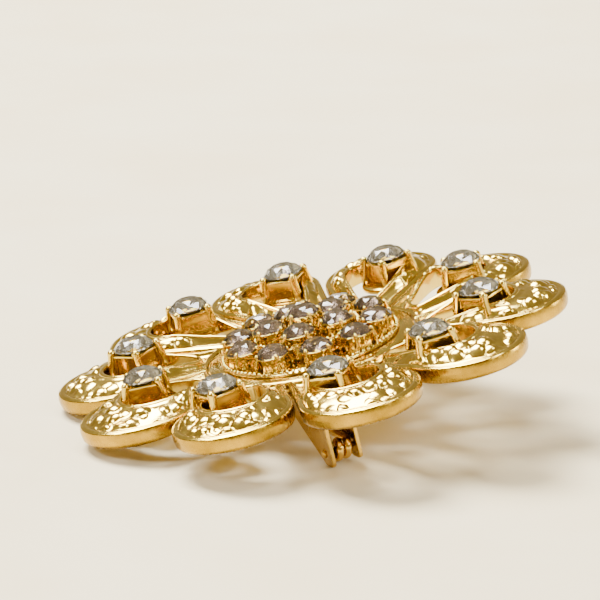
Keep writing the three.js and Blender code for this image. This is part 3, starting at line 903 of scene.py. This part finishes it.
def add_floor():
    """Matt cream card that throws a warm light up under the petals."""
    material, tree, shader, place = new_material("matt cream card")
    fibre = node(tree, "ShaderNodeTexNoise", {"Vector": (place, "Object")},
                 Scale=1 / (CARD_CLOUD * MM), Detail=3.0)
    tone = ramp(tree, fibre, "Fac", [(0.3, linear("D9CCA6")), (0.7, linear("DDD3B2"))])
    tree.links.new(tone.outputs["Color"], shader.inputs["Base Color"])
    shader.inputs["Roughness"].default_value = 0.7
    bm = bmesh.new()
    bmesh.ops.create_grid(bm, x_segments=1, y_segments=1, size=CARD_HALF_WIDTH)
    level = lowest_along(floor_up)
    turn = Vector((0, 0, 1)).rotation_difference(floor_up).to_matrix().to_4x4()
    bmesh.ops.transform(bm, matrix=Matrix.Translation(floor_up * level) @ turn, verts=bm.verts[:])
    new_object("card_floor", bm, [material])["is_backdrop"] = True


add_floor()


def aim(direction_back, roll_up):
    """A rotation whose Z is the given direction and whose Y is as near roll_up as it can be."""
    back = direction_back.normalized()
    right = roll_up.cross(back).normalized()
    up = back.cross(right)
    return Matrix((right, up, back)).transposed().to_4x4()


def add_area(name, azimuth, elevation, distance, size, power, colour):
    """A soft square lamp that looks at the brooch from a direction given on the floor's own compass."""
    a, e = math.radians(azimuth), math.radians(elevation)
    local = Vector((math.sin(a) * math.cos(e), -math.cos(a) * math.cos(e), math.sin(e)))
    turn = Vector((0, 0, 1)).rotation_difference(floor_up).to_matrix()
    back = turn @ local
    lamp = bpy.data.lights.new(name, "AREA")
    lamp.size = size
    lamp.energy = power
    lamp.color = linear(colour)[:3]
    holder = bpy.data.objects.new(name, lamp)
    holder.matrix_world = Matrix.Translation(back * distance) @ aim(back, floor_up)
    bpy.context.scene.collection.objects.link(holder)


add_area("window_behind_left", -150, 58, 1.8, 0.85, 155.0, "FDFAF6")
add_area("window_left", -75, 40, 1.8, 0.36, 23.0, "FBFAFF")
add_area("window_front_right", 40, 35, 2.1, 0.33, 21.0, "FDFBFF")
add_area("lamp_overhead", 100, 75, 1.8, 0.27, 14.0, "FDFBFF")
add_area("window_right", 92, 16, 2.1, 0.39, 15.0, "FDFBFF")

# The room that the metal mirrors: pale up to the horizon, brown walls and a duller ceiling.
ROOM = [(0.0, "F3E9D6"), (0.07, "8C7C5E"), (0.22, "8A7C5F"), (0.5, "776C55")]
ROOM_STRENGTH = 2.0
world = bpy.data.worlds.new("pale room")
world.use_nodes = True
sky = world.node_tree
background = sky.nodes["Background"]
way = node(sky, "ShaderNodeTexCoord")
height = node(sky, "ShaderNodeSeparateXYZ", {"Vector": (way, "Generated")})
room = ramp(sky, height, "Z", [(level, linear(colour)) for level, colour in ROOM])
sky.links.new(room.outputs["Color"], background.inputs["Color"])
background.inputs["Strength"].default_value = ROOM_STRENGTH
bpy.context.scene.world = world

CAMERA_AZIMUTH = math.radians(-3.34)
CAMERA_ELEVATION = math.radians(16.19)
CAMERA_ROLL = math.radians(13.79)
CAMERA_DISTANCE = 350.0
FOCAL_IN_FRAMES = 6.0168  # focal length over the frame's width
SENSOR = 36
RING_CENTRE = Vector((0, 0, 4.4))  # the middle of the ring of petal stones
AIM_RIGHT, AIM_UP = -0.31, 1.38  # the view's middle, from there
back = Vector((math.sin(CAMERA_AZIMUTH) * math.cos(CAMERA_ELEVATION),
               -math.cos(CAMERA_AZIMUTH) * math.cos(CAMERA_ELEVATION), math.sin(CAMERA_ELEVATION)))
level_right = Vector((math.cos(CAMERA_AZIMUTH), math.sin(CAMERA_AZIMUTH), 0))
level_up = back.cross(level_right)
right = math.cos(CAMERA_ROLL) * level_right - math.sin(CAMERA_ROLL) * level_up
up = math.sin(CAMERA_ROLL) * level_right + math.cos(CAMERA_ROLL) * level_up
target = RING_CENTRE + AIM_RIGHT * right + AIM_UP * up
lens = bpy.data.cameras.new("camera")
lens.sensor_width = SENSOR
lens.lens = SENSOR * FOCAL_IN_FRAMES
lens.clip_start = 0.01
lens.clip_end = 20
camera = bpy.data.objects.new("camera", lens)
camera.matrix_world = (Matrix.Translation((target + back * CAMERA_DISTANCE) * MM)
                       @ Matrix((right, up, back)).transposed().to_4x4())
bpy.context.scene.collection.objects.link(camera)
bpy.context.scene.camera = camera
